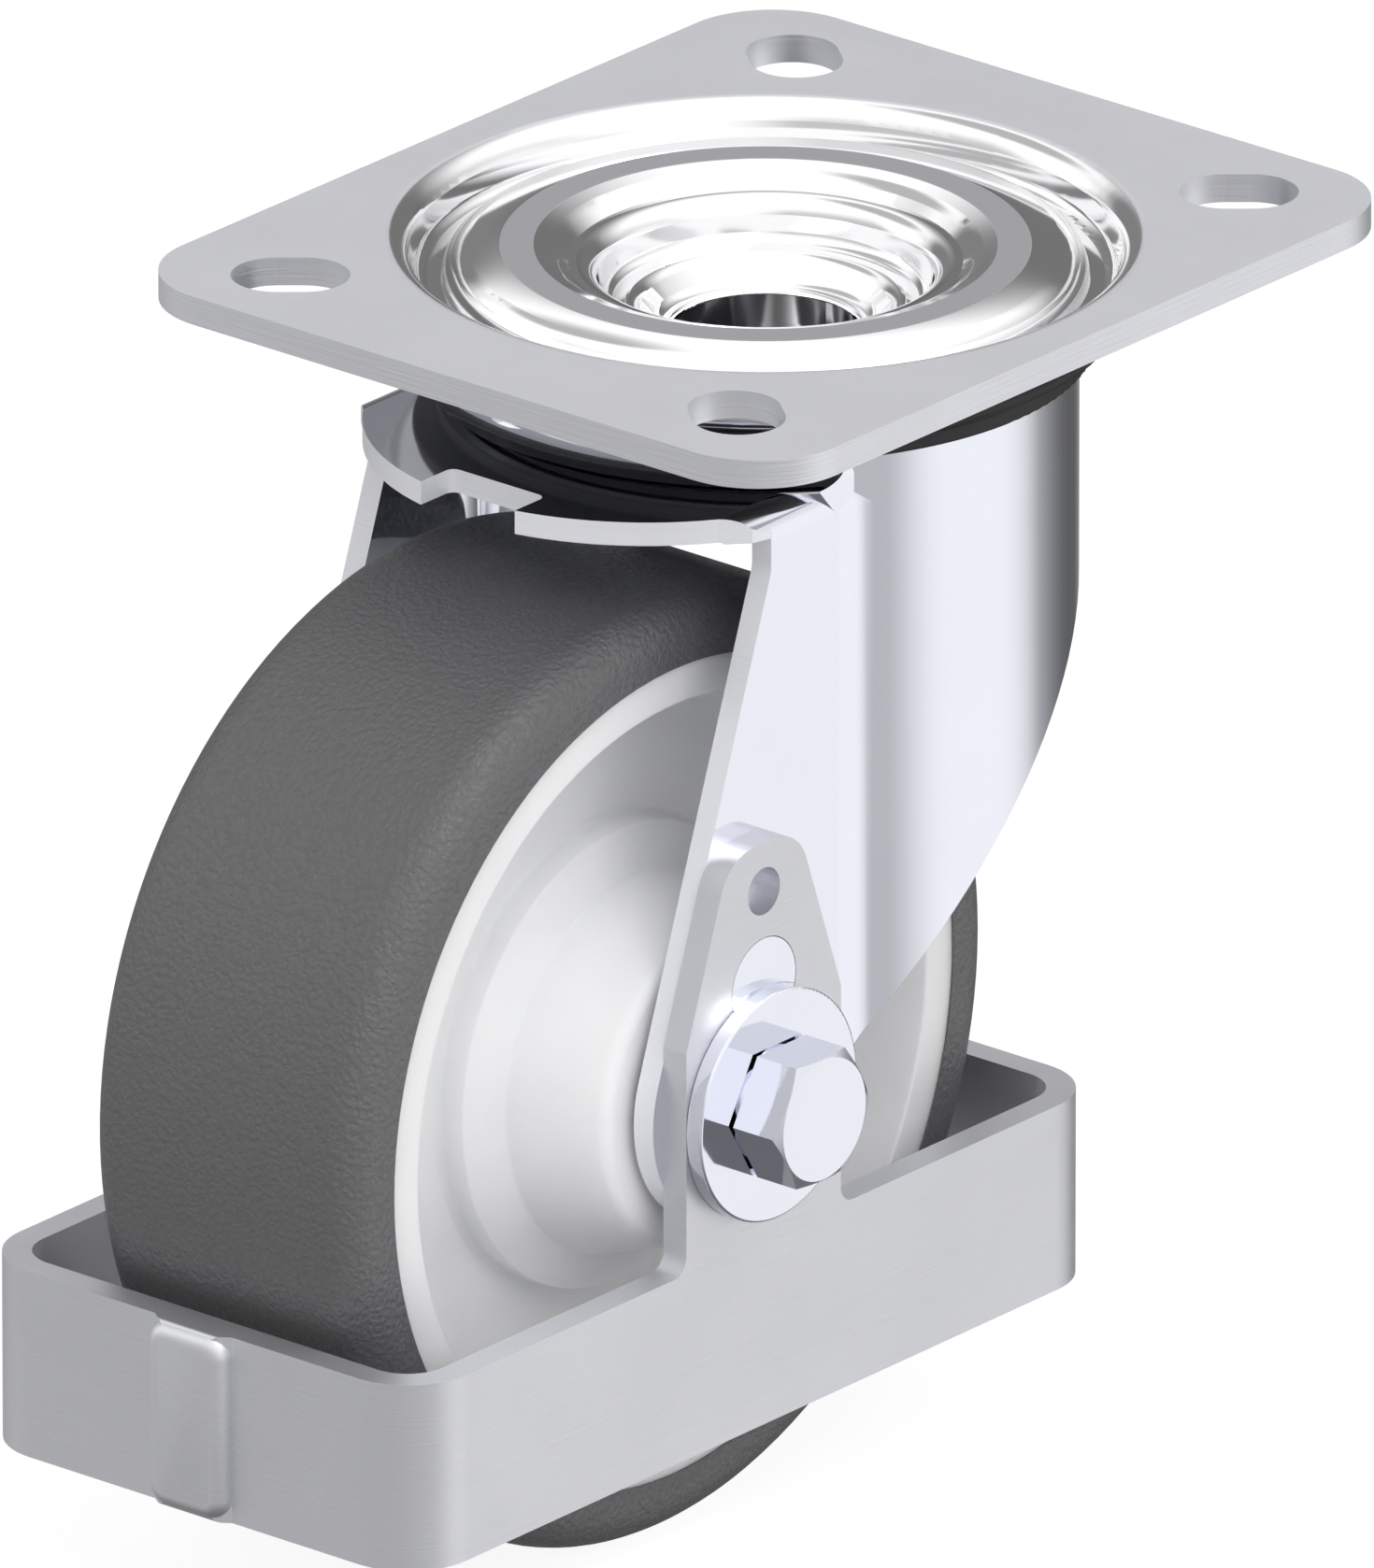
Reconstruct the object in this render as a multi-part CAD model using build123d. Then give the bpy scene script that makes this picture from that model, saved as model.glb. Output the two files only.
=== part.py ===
# Swivel caster: pressed plate and fork, white plastic wheel with a dark tyre, bolted foot guard.
# Millimetres. The origin is on the swivel axis in the top face of the plate, +Z is up,
# and the wheel trails towards -X. The axle runs along Y.
import os
from math import asin, cos, pi, radians, sin, sqrt

from build123d import *

os.makedirs("parts", exist_ok=True)

# Wheel and layout. The total height of 125 is worked out below.
wheel_radius = 50.0
trail = 35.0
wheel_head_gap = 8.3
tyre_width = 35.2
tyre_shoulder_radius = 4.4
tyre_thickness = 6.6
rim_wall = 4.0
rim_setback = 0.2
rim_groove_depth = 1.2
rim_groove_width = 11.0
recess_draft = 2.2
recess_round = 3.0
web_thickness = 14.0
disc_radius = 24.2
disc_face_y = 10.2
disc_foot_round = 0.8
boss_root_radius = 20.0
boss_root_y = 12.4
boss_root_round = 0.6
boss_end_radius = 16.6
boss_end_gap = 1.0

# Mounting plate
plate_length = 100.0
plate_width = 85.0
plate_thickness = 3.0
plate_corner_radius = 10.0
bolt_inset_x = 10.0
bolt_inset_y = 12.5
slot_width = 9.4
slot_run = 2.6
slot_angle = 50.0

# Swivel head: the drum of the fork sets the dish over it
drum_radius = 31.4
dish_overhang = 6.5
dish_depth = 4.5
dish_edge_inset = 1.7
dish_edge_round = 2.6
dish_wall_run = 1.3
dish_foot_round = 1.3
groove_overhang = 1.1
ridge_edge_inset = 0.6
ridge_edge_drop = 1.7
ridge_edge_round = 3.0
ridge_drop = 1.1
land_inset = 1.1
land_width = 3.2
bowl_slope_width = 1.4
bowl_slope_drop = 1.7
bowl_slope_round = 3.0
seat_flange_width = 4.5

# Hollow rivet through the swivel head
bowl_edge_radius = 19.75
bowl_edge_depth = 2.9
bowl_edge_wall = 2.1
bowl_wall_top_radius = 17.2
bowl_wall_foot_radius = 16.2
bowl_edge_round = 2.2
bowl_foot_round = 1.3
bowl_depth = 7.3
bowl_floor_radius = 14.1
neck_step = 0.2
neck_slope_top_radius = 12.9
neck_slope_foot_radius = 10.9
neck_slope_round = 1.6
neck_rim_depth = 9.8
neck_rim_round = 0.5
neck_bore_radius = 9.4
neck_bore_length = 3.5
neck_relief = 0.8
stem_radius = 12.0
seat_mid_radius = 17.6
seat_mid_depth = 8.4
seat_depth = 11.0
collar_bottom_depth = 13.2
rivet_flange_overhang = 2.8
rivet_flange_height = 1.6
rivet_flange_round = 0.8

# Ball races of the swivel head
upper_ball_radius = 3.175
upper_pitch_inset = 3.8
lower_ball_radius = 2.5
lower_pitch_radius = 17.3
ball_spacing_gap = 0.2
race_clearance = 0.05
race_openness = 0.225
upper_race_depth = 1.0
lower_race_depth = 0.7
race_lip_chamfer = 0.4
lower_cup_floor = 2.0
lower_cup_lip_height = 1.5
lower_cup_lip_width = 1.6

# Seal ring under the dish
seal_lip_overhang = 1.6
seal_lip_depth = 11.7
seal_lip_height = 1.5
seal_gap = 0.35
seal_seat_width = 3.6
seal_seat_height = 1.2

# Fork, pressed from one sheet
fork_sheet = 2.5
drum_top_round = 1.2
flange_drop = 14.2
drum_base_round = 3.0
drum_base_edge = 0.2
leg_bend_radius = 3.0
leg_outer_y = 26.1
hood_blend_radius = 8.0
hub_hole_gap = 2.0
hub_hole_round = 0.8
hub_face_radius = 19.5
hub_bend_radius = 1.5
flange_arc_radius = 28.5
flange_arc_x = -18.3
notch_width = 12.2
notch_floor_x = -41.3
notch_round = 1.0
leg_top_x = -30.3
leg_top_drop = 2.7
leg_straight = 3.6
bend_cut_x = -32.5
bend_cut_y = 25.5
leg_corner_round = 4.0
leg_mid_x = -38.2
leg_mid_rise = 32.1
hood_edge_front_rise = 50.0
hood_edge_mid_x = 3.6
hood_edge_mid_rise = 23.4
foot_radius = 13.6
foot_front_angle = -42.0
foot_rear_angle = 161.0
boss_rise = 12.5
boss_dimple_wall = 1.3

# Foot guard
guard_end_gap = 0.6
guard_height = 20.0
guard_floor_gap = 15.0
guard_wall = 3.0
guard_corner_radius = 7.5
tab_width = 24.0
tab_shoulder_rise = 8.7
tab_top_rise = 22.3
tab_top_radius = 5.4
tab_top_spread = 3.0
tab_root_round = 1.8
tab_hole_rise = 22.5
tab_hole_radius = 2.5
window_radius = 5.0
window_gap = 0.1
weld_width = 10.0
weld_height = 1.8
weld_end_height = 0.9
weld_end_drop = 1.9
weld_round = 1.4

# Axle bolt, nut, washers and tube
bolt_radius = 4.0
bolt_root_radius = 3.35
bolt_hole_gap = 0.2
bolt_end_length = 2.4
bolt_end_chamfer = 0.5
head_flats = 13.0
head_height = 5.6
head_face_height = 0.3
head_face_radius = 6.35
hexagon_turning = 0.1
washer_radius = 12.15
washer_thickness = 2.0
nut_height = 6.5
nut_collar_height = 1.8
nut_collar_radius = 6.2
nut_lip = 0.5
insert_wall = 1.2
tube_bore_gap = 0.15
tube_wall = 1.85

# Wheel bearings, 12 x 24 x 6
bearing_outer_radius = 12.0
bearing_width = 6.0
bearing_inset = 1.0
bearing_ring_wall = 1.9
bearing_ball_radius = 1.59
bearing_ball_count = 10
bearing_edge_round = 0.3
shield_thickness = 0.3
shield_inset = 0.25
shield_gap = 0.25
hub_core_gap = 2.5

# Roundings that several pieces share
broken_edge = 0.3
small_round = 0.6
press_round = 1.5
outside_margin = 1.0

# Places worked out from the sizes above
leg_inner_y = leg_outer_y - fork_sheet
guard_outer_y = leg_outer_y + guard_wall
washer_outer_y = guard_outer_y + washer_thickness
nut_outer_y = washer_outer_y + nut_height + nut_collar_height
dish_radius = drum_radius + dish_overhang
groove_inner_radius = drum_radius + groove_overhang
upper_pitch_radius = drum_radius - upper_pitch_inset
land_outer_radius = upper_pitch_radius - land_inset
land_inner_radius = land_outer_radius - land_width
upper_race_radius = upper_ball_radius + race_openness
lower_race_radius = lower_ball_radius + race_openness
race_inner_edge = upper_pitch_radius - upper_race_radius
groove_floor = -dish_depth
groove_under = groove_floor - plate_thickness
upper_race_top = -ridge_drop - plate_thickness
upper_ball_z = upper_race_top - race_clearance - upper_ball_radius
crown_race_bottom = upper_ball_z - upper_ball_radius - race_clearance
crown_top = crown_race_bottom + upper_race_depth
crown_under = crown_race_bottom - fork_sheet
flange_top = -flange_drop
flange_under = flange_top - fork_sheet
lower_race_top = flange_under + lower_race_depth
lower_ball_z = lower_race_top - race_clearance - lower_ball_radius
cup_race_bottom = lower_ball_z - lower_ball_radius - race_clearance
cup_top = cup_race_bottom + lower_race_depth
cup_bottom = cup_race_bottom - lower_cup_floor
cup_outer_radius = lower_pitch_radius + lower_race_radius + lower_cup_lip_width
stem_bottom = cup_bottom - rivet_flange_height
hub_hole_radius = stem_radius + hub_hole_gap
axle_x = -trail
axle_z = flange_under - wheel_head_gap - wheel_radius
below_all = axle_z - wheel_radius
flange_half = leg_outer_y - leg_bend_radius
flange_end_x = flange_arc_x - sqrt(flange_arc_radius**2 - flange_half**2)
far_back = flange_arc_x - flange_arc_radius - fork_sheet
leg_top_z = flange_top - leg_top_drop
guard_length = 2 * (wheel_radius + guard_end_gap + guard_wall)
guard_low = below_all + guard_floor_gap
guard_top_rise = guard_low + guard_height - axle_z
tyre_half = tyre_width / 2
rim_half = tyre_half - rim_setback
rim_radius = wheel_radius - tyre_thickness
tube_bore_radius = bolt_radius + tube_bore_gap
tube_radius = tube_bore_radius + tube_wall
boss_end_y = leg_inner_y - boss_end_gap
bearing_outer_y = boss_end_y - bearing_inset
bearing_inner_y = bearing_outer_y - bearing_width
bearing_middle_y = (bearing_inner_y + bearing_outer_y) / 2
bearing_pitch = (tube_radius + bearing_outer_radius) / 2

axle = Plane(origin=(axle_x, 0, axle_z), x_dir=(1, 0, 0), z_dir=(0, 1, 0))


def outline(corners):
    """Face inside straight sides. A corner is (x, y), or (x, y, radius) where it is rounded."""
    rounds = []
    for before, here, after in zip(corners[-1:] + corners[:-1], corners, corners[1:] + corners[:1]):
        corner = Vector(here[0], here[1])
        if len(here) == 2:
            rounds.append((corner, None, corner))
            continue
        radius = here[2]
        back = (Vector(before[0], before[1]) - corner).normalized()
        ahead = (Vector(after[0], after[1]) - corner).normalized()
        half = radians(back.get_angle(ahead)) / 2
        inward = (back + ahead).normalized()
        reach = radius * cos(half) / sin(half)
        middle = corner + inward * (radius / sin(half) - radius)
        rounds.append((corner + back * reach, middle, corner + ahead * reach))
    edges = []
    for (start, middle, end), (following, _, _) in zip(rounds, rounds[1:] + rounds[:1]):
        if middle is not None:
            edges.append(ThreePointArc(start, middle, end))
        edges.append(Line(end, following))
    return make_face(edges)


def turned(corners):
    """Solid of revolution about Z, from an outline of radius and height."""
    return revolve(Plane.XZ * outline(corners), Axis.Z)


def ring(inner, outer, low, high):
    """Plain ring about Z between two heights."""
    return turned([(inner, low), (outer, low), (outer, high), (inner, high)])


def race_cutter(pitch, radius, centre_z, open_to):
    """Round groove about Z that stays open as far as the height open_to."""
    groove = Pos(pitch, centre_z) * Circle(radius)
    way = Pos(pitch, (centre_z + open_to) / 2) * Rectangle(2 * radius, abs(open_to - centre_z))
    return revolve(Plane.XZ * (groove + way), Axis.Z)


def balls_that_fit(pitch, radius):
    """How many balls a full race holds with a small gap between neighbours."""
    return int(pi / asin((radius + ball_spacing_gap / 2) / pitch))


def ball_ring(pitch, radius, count, z):
    """Balls set evenly round Z."""
    balls = []
    for index in range(count):
        turn = radians(360 * index / count)
        balls.append(Pos(pitch * cos(turn), pitch * sin(turn), z) * Sphere(radius))
    return Compound(children=balls)


def both_sides(make):
    """A piece for the left side (+Y) and the same piece for the right side (-Y)."""
    left = make()
    return left, mirror(left, Plane.XZ)


# Mounting plate with its dish
def kingpin_seat():
    """Underside of the rivet's bowl, which is also the seat in the plate."""
    return [
        (bowl_edge_radius, -bowl_edge_depth - bowl_edge_wall),
        (seat_mid_radius, -seat_mid_depth),
        (stem_radius, -seat_depth),
    ]


def make_top_plate():
    sheet = extrude(RectangleRounded(plate_length, plate_width, plate_corner_radius), -plate_thickness)
    wall_top = dish_radius - dish_edge_inset
    wall_foot = wall_top - dish_wall_run
    wall = Vector(dish_wall_run, dish_depth)
    sheet_run = plate_thickness * wall.length / dish_depth
    outer_foot = wall_foot + sheet_run - plate_thickness * dish_wall_run / dish_depth
    outer_top = wall_top + sheet_run - plate_thickness * dish_wall_run / dish_depth
    dish = turned(
        [
            (dish_radius + plate_thickness, 0),
            (wall_top, 0, dish_edge_round),
            (wall_foot, groove_floor, dish_foot_round),
            (groove_inner_radius, groove_floor),
            (groove_inner_radius - ridge_edge_inset, -ridge_edge_drop, ridge_edge_round),
            (land_outer_radius, -ridge_drop),
            (land_inner_radius, -ridge_drop),
            (bowl_edge_radius + bowl_slope_width, -bowl_slope_drop, bowl_slope_round),
            (bowl_edge_radius, -bowl_edge_depth),
            *kingpin_seat(),
            (stem_radius, -collar_bottom_depth),
            (stem_radius + seat_flange_width, -collar_bottom_depth, press_round),
            (race_inner_edge - race_lip_chamfer, groove_under - race_lip_chamfer),
            (race_inner_edge, groove_under),
            (outer_foot, groove_under, dish_foot_round + plate_thickness),
            (outer_top, -plate_thickness, broken_edge),
            (dish_radius + plate_thickness, -plate_thickness),
        ]
    )
    hole = extrude(Circle(dish_radius + plate_thickness / 2), -plate_thickness)
    plate = sheet - hole + dish
    plate -= race_cutter(
        upper_pitch_radius, upper_race_radius, upper_race_top - upper_race_radius, 2 * groove_under
    )
    across = Vector(cos(radians(slot_angle)), sin(radians(slot_angle))) * (slot_run / 2)
    for side_x in (-1, 1):
        for side_y in (-1, 1):
            x = side_x * (plate_length / 2 - bolt_inset_x - across.X)
            y = side_y * (plate_width / 2 - bolt_inset_y - across.Y)
            turn = side_x * side_y * slot_angle
            slot = Pos(x, y) * Rot(0, 0, turn) * SlotCenterToCenter(slot_run, slot_width)
            plate -= extrude(slot, -plate_thickness)
    return plate


def make_kingpin():
    edge_top = -bowl_edge_depth
    ring_top = -bowl_depth + neck_step
    neck_bottom = -neck_rim_depth - neck_bore_length
    flange_radius = stem_radius + rivet_flange_overhang
    relief_radius = neck_bore_radius + neck_relief
    return turned(
        [
            (bowl_edge_radius, edge_top),
            *kingpin_seat(),
            (stem_radius, cup_bottom),
            (flange_radius, cup_bottom),
            (flange_radius, stem_bottom, rivet_flange_round),
            (relief_radius, stem_bottom, rivet_flange_round),
            (relief_radius, neck_bottom),
            (neck_bore_radius, neck_bottom),
            (neck_bore_radius, -neck_rim_depth, neck_rim_round),
            (neck_slope_foot_radius, -neck_rim_depth, neck_slope_round),
            (neck_slope_top_radius, ring_top, neck_slope_round),
            (bowl_floor_radius - neck_step / 2, ring_top),
            (bowl_floor_radius, -bowl_depth),
            (bowl_wall_foot_radius, -bowl_depth, bowl_foot_round),
            (bowl_wall_top_radius, edge_top, bowl_edge_round),
        ]
    )


def make_lower_ball_cup():
    lip_top = cup_top + lower_cup_lip_height
    lip_inner = cup_outer_radius - lower_cup_lip_width
    cup = turned(
        [
            (stem_radius, cup_bottom),
            (cup_outer_radius, cup_bottom, press_round),
            (cup_outer_radius, lip_top, small_round),
            (lip_inner, lip_top, small_round),
            (lip_inner, cup_top),
            (stem_radius, cup_top),
        ]
    )
    return cup - race_cutter(
        lower_pitch_radius, lower_race_radius, cup_race_bottom + lower_race_radius, flange_under
    )


def make_swivel_seal():
    inner = drum_radius + seal_gap
    seat_foot = groove_under - seal_seat_height
    lip_radius = drum_radius + seal_lip_overhang
    return turned(
        [
            (inner, groove_under),
            (inner + seal_seat_width, groove_under, small_round),
            (inner + seal_seat_width, seat_foot, small_round),
            (lip_radius, seal_lip_height - seal_lip_depth),
            (lip_radius, -seal_lip_depth, broken_edge),
            (inner, -seal_lip_depth),
        ]
    )


# Fork
def blend_points(inset):
    """Where the hollow blend is centred, and where it touches the leg and the drum."""
    drum = drum_radius - inset
    leg = leg_outer_y - inset
    blend = hood_blend_radius + inset
    centre = Vector(-sqrt((drum + blend) ** 2 - (leg + blend) ** 2), leg + blend)
    return centre, Vector(centre.X, leg), centre * (drum / (drum + blend))


def fork_plan(inset):
    """Plan of the fork: round hood in front, two flat legs behind, with a hollow blend between."""
    drum = drum_radius - inset
    leg = leg_outer_y - inset
    blend = hood_blend_radius + inset
    centre, leg_touch, drum_touch = blend_points(inset)
    middle = centre + ((leg_touch - centre) + (drum_touch - centre)).normalized() * blend
    half = [
        Line((far_back, leg), leg_touch),
        ThreePointArc(leg_touch, middle, drum_touch),
    ]
    other = [mirror(edge, Plane.XZ) for edge in half]
    front = ThreePointArc(drum_touch, (drum, 0), (drum_touch.X, -drum_touch.Y))
    back = Line((far_back, leg), (far_back, -leg))
    return make_face([*half, *other, front, back])


def rounded_blend(inset):
    """Top of the hollow blend, whose edge is rounded as the legs' edges are."""
    blend = hood_blend_radius + inset
    bend = leg_bend_radius - inset
    top = flange_top - inset
    foot = top - 2 * leg_bend_radius
    reach = blend + leg_bend_radius + fork_sheet
    centre, leg_touch, drum_touch = blend_points(inset)
    stretch = 2 * reach / blend
    wedge = outline(
        [
            (0, 0),
            ((leg_touch - centre).X * stretch, (leg_touch - centre).Y * stretch),
            ((drum_touch - centre).X * stretch, (drum_touch - centre).Y * stretch),
        ]
    )
    body = turned([(blend, foot), (blend, top, bend), (reach, top), (reach, foot)])
    body &= Pos(0, 0, foot) * extrude(wedge, top - foot)
    left = Pos(centre.X, centre.Y, 0) * body
    return left + mirror(left, Plane.XZ)


def fork_body(inset):
    """Solid inside the sheet's outer face, or inside its inner face when inset by the sheet."""
    low = below_all - inset
    drum = drum_radius - inset
    leg = leg_outer_y - inset
    bend = leg_bend_radius - inset
    head = flange_top - inset
    prism = Pos(0, 0, low) * extrude(fork_plan(inset), head - bend - low)
    section = outline([(-leg, low), (leg, low), (leg, head, bend), (-leg, head, bend)])
    legs = extrude(Plane(origin=(far_back, 0, 0), x_dir=(0, 1, 0), z_dir=(1, 0, 0)) * section, -far_back)
    crown_level = crown_under if inset else crown_top
    hood = turned([(0, low), (drum, low), (drum, crown_level, drum_top_round), (0, crown_level)])
    return prism + legs + hood + rounded_blend(inset)


def drum_base():
    """Hollow blend between the drum and the flange behind it, kept within the legs."""
    foot = drum_radius + drum_base_round + drum_base_edge
    low = flange_top - leg_bend_radius
    top = flange_top + drum_base_round + drum_base_edge
    inside = drum_radius - fork_sheet / 2
    blend = turned(
        [
            (inside, low),
            (foot - drum_base_round / 2, low),
            (foot, flange_top - drum_base_edge),
            (foot, flange_top),
            (drum_radius, flange_top, drum_base_round),
            (drum_radius, top),
            (inside, top),
        ]
    )
    section = outline(
        [
            (-leg_outer_y, low),
            (leg_outer_y, low),
            (leg_outer_y, top, leg_bend_radius),
            (-leg_outer_y, top, leg_bend_radius),
        ]
    )
    keep = extrude(Plane(origin=(far_back, 0, 0), x_dir=(0, 1, 0), z_dir=(1, 0, 0)) * section, -far_back)
    return blend & keep


def fork_side():
    """Side view that trims the sheet: slanted hood edge, round foot, rear leg edge."""
    foot = Vector(axle_x, axle_z)
    front = foot + Vector(foot_radius, 0).rotate(Axis.Z, foot_front_angle)
    rear = foot + Vector(foot_radius, 0).rotate(Axis.Z, foot_rear_angle)
    low = foot - Vector(0, foot_radius)
    corner = Vector(leg_top_x, leg_top_z - leg_straight)
    reach = drum_radius + fork_sheet
    hood_front = (reach, axle_z + hood_edge_front_rise)
    side = make_face(
        [
            Line((reach, 0), hood_front),
            ThreePointArc(hood_front, (hood_edge_mid_x, axle_z + hood_edge_mid_rise), front),
            ThreePointArc(front, low, rear),
            ThreePointArc(rear, (leg_mid_x, axle_z + leg_mid_rise), corner),
            Line(corner, (leg_top_x, leg_top_z)),
            Line((leg_top_x, leg_top_z), (far_back, leg_top_z)),
            Line((far_back, leg_top_z), (far_back, 0)),
            Line((far_back, 0), (reach, 0)),
        ]
    )
    return fillet(side.vertices().sort_by_distance(corner)[0], leg_corner_round)


def flange_waste():
    """What is cut away behind the head flange: outside its arc, its notch, and at its two bends."""
    behind = far_back - outside_margin
    block = outline(
        [
            (behind, -flange_half),
            (leg_top_x, -flange_half),
            (leg_top_x, flange_half),
            (behind, flange_half),
        ]
    )
    notch = outline(
        [
            (behind, -notch_width / 2),
            (notch_floor_x, -notch_width / 2, notch_round),
            (notch_floor_x, notch_width / 2, notch_round),
            (behind, notch_width / 2),
        ]
    )
    bend = outline(
        [
            (behind, flange_half),
            (flange_end_x, flange_half),
            (bend_cut_x, bend_cut_y),
            (leg_top_x, leg_outer_y),
            (leg_top_x, leg_outer_y + outside_margin),
            (behind, leg_outer_y + outside_margin),
        ]
    )
    plan = (block - Pos(flange_arc_x, 0) * Circle(flange_arc_radius)) + notch
    waste = Pos(0, 0, leg_top_z) * extrude(plan, -leg_top_z)
    bend_waste = Pos(0, 0, leg_top_z) * extrude(bend, -leg_top_z)
    return waste + bend_waste + mirror(bend_waste, Plane.XZ)


def make_fork():
    sheet = fork_body(0) + drum_base() - fork_body(fork_sheet)
    sheet &= Plane.XZ * extrude(fork_side(), drum_radius + outside_margin, both=True)
    sheet -= flange_waste()
    crown_hole = extrude(Circle(race_inner_edge), crown_top - crown_under + 2 * outside_margin)
    sheet -= Pos(0, 0, crown_under - outside_margin) * crown_hole
    hub = turned(
        [
            (hub_hole_radius, flange_top, hub_hole_round),
            (hub_face_radius, flange_top, hub_bend_radius),
            (race_inner_edge, crown_top),
            (race_inner_edge + neck_rim_round, crown_top),
            (race_inner_edge + neck_rim_round, crown_under),
            (race_inner_edge, crown_under),
            (hub_face_radius + hub_bend_radius, flange_under, hub_bend_radius),
            (hub_hole_radius, flange_under, hub_hole_round),
        ]
    )
    fork = sheet + hub
    fork -= race_cutter(upper_pitch_radius, upper_race_radius, crown_race_bottom + upper_race_radius, 0)
    fork -= race_cutter(
        lower_pitch_radius, lower_race_radius, lower_race_top - lower_race_radius, 2 * flange_under
    )
    boss_radius = window_radius - window_gap
    for side in (-1, 1):
        face = Plane(
            origin=(axle_x, side * leg_outer_y, axle_z + boss_rise), x_dir=(1, 0, 0), z_dir=(0, side, 0)
        )
        fork += extrude(face * Circle(boss_radius), guard_wall)
        dimple = face.offset(-fork_sheet) * Circle(boss_radius - boss_dimple_wall)
        fork -= extrude(dimple, guard_wall + fork_sheet - boss_dimple_wall)
    return fork - axle * extrude(Circle(bolt_radius + bolt_hole_gap), 2 * leg_outer_y, both=True)


# Foot guard
def tab_side():
    """Side view of the tab that stands up the leg, with the rail it grows from."""
    crest = Circle(tab_top_radius)
    crests = Pos(-tab_top_spread / 2, tab_top_rise) * crest + Pos(tab_top_spread / 2, tab_top_rise) * crest
    body = Pos(0, (guard_top_rise + tab_shoulder_rise) / 2) * Rectangle(
        tab_width, tab_shoulder_rise - guard_top_rise
    )
    tab = make_hull(crests.edges() + body.edges())
    rail_length = guard_length - 2 * guard_corner_radius
    side = tab + Pos(0, guard_top_rise - guard_height / 2) * Rectangle(rail_length, guard_height)
    roots = [
        side.vertices().sort_by_distance((hand * tab_width / 2, guard_top_rise))[0] for hand in (-1, 1)
    ]
    side = fillet(roots, tab_root_round)
    side -= Circle(bolt_radius + bolt_hole_gap)
    side -= Pos(0, boss_rise) * Circle(window_radius)
    return side - Pos(0, tab_hole_rise) * Circle(tab_hole_radius)


def weld_bead():
    """Bead that closes the strip's ends, domed across and at its top and foot."""
    wall = axle_x - guard_length / 2
    top = guard_low + guard_height
    across = make_face(
        [
            ThreePointArc((wall, -weld_width / 2), (wall - weld_height, 0), (wall, weld_width / 2)),
            Line((wall, weld_width / 2), (wall, -weld_width / 2)),
        ]
    )
    upright = outline(
        [
            (wall, guard_low),
            (wall - weld_end_height, guard_low, weld_end_height / 2),
            (wall - weld_height, guard_low + weld_end_drop, weld_round),
            (wall - weld_height, top - weld_end_drop, weld_round),
            (wall - weld_end_height, top, weld_end_height / 2),
            (wall, top),
        ]
    )
    return Pos(0, 0, guard_low) * extrude(across, guard_height) & extrude(
        Plane.XZ * upright, weld_width, both=True
    )


def make_foot_guard():
    outer = RectangleRounded(guard_length, 2 * guard_outer_y, guard_corner_radius)
    inner = RectangleRounded(
        guard_length - 2 * guard_wall, 2 * leg_outer_y, guard_corner_radius - guard_wall
    )
    guard = Pos(axle_x, 0, guard_low) * extrude(outer - inner, guard_height)
    side = tab_side()
    for hand in (-1, 1):
        face = Plane(origin=(axle_x, hand * leg_outer_y, axle_z), x_dir=(1, 0, 0), z_dir=(0, -1, 0))
        guard += extrude(face * side, -hand * guard_wall)
    return guard + weld_bead()


# Axle
def hexagon(flats, height):
    """Hexagonal prism about Z with its outer corners turned off at 30 degrees."""
    corner_radius = flats / cos(pi / 6) / 2
    flat_radius = flats / 2 - hexagon_turning
    drop = (corner_radius - flat_radius) * sin(pi / 6)
    turning = turned(
        [(0, 0), (corner_radius, 0), (corner_radius, height - drop), (flat_radius, height), (0, height)]
    )
    return extrude(RegularPolygon(corner_radius, 6), height) & turning


def make_axle_bolt():
    shank_end = nut_outer_y + bolt_end_length
    shank = turned(
        [
            (0, -washer_outer_y),
            (bolt_radius, -washer_outer_y),
            (bolt_radius, nut_outer_y),
            (bolt_root_radius, nut_outer_y),
            (bolt_root_radius, shank_end - bolt_end_chamfer),
            (bolt_root_radius - bolt_end_chamfer, shank_end),
            (0, shank_end),
        ]
    )
    head_face = Pos(0, 0, -washer_outer_y - head_face_height) * extrude(
        Circle(head_face_radius), head_face_height
    )
    head = Rot(180, 0, 0) * Pos(0, 0, washer_outer_y + head_face_height) * hexagon(head_flats, head_height)
    return axle * (shank + head_face + head)


def make_washer():
    return axle * turned(
        [
            (bolt_radius + bolt_hole_gap, guard_outer_y),
            (washer_radius, guard_outer_y, broken_edge),
            (washer_radius, washer_outer_y, broken_edge),
            (bolt_radius + bolt_hole_gap, washer_outer_y),
        ]
    )


def make_lock_nut():
    collar_top = nut_height + nut_collar_height
    insert_radius = bolt_radius + insert_wall
    collar = ring(bolt_radius, nut_collar_radius, nut_height / 2, collar_top)
    nut = hexagon(head_flats, nut_height) + collar
    nut -= extrude(Circle(bolt_radius), collar_top)
    nut -= Pos(0, 0, nut_height) * extrude(Circle(insert_radius), nut_collar_height - nut_lip)
    return axle * Pos(0, 0, washer_outer_y) * nut


def make_nut_insert():
    low = washer_outer_y + nut_height
    return axle * ring(bolt_radius, bolt_radius + insert_wall, low, low + nut_collar_height - nut_lip)


def make_axle_tube():
    return axle * ring(tube_bore_radius, tube_radius, -leg_inner_y, leg_inner_y)


# Wheel
def both_faces(near):
    """Full outline from the half on the left side, mirrored about the middle of the wheel."""
    far = [(corner[0], -corner[1], *corner[2:]) for corner in reversed(near)]
    return axle * turned(near + far)


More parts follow.
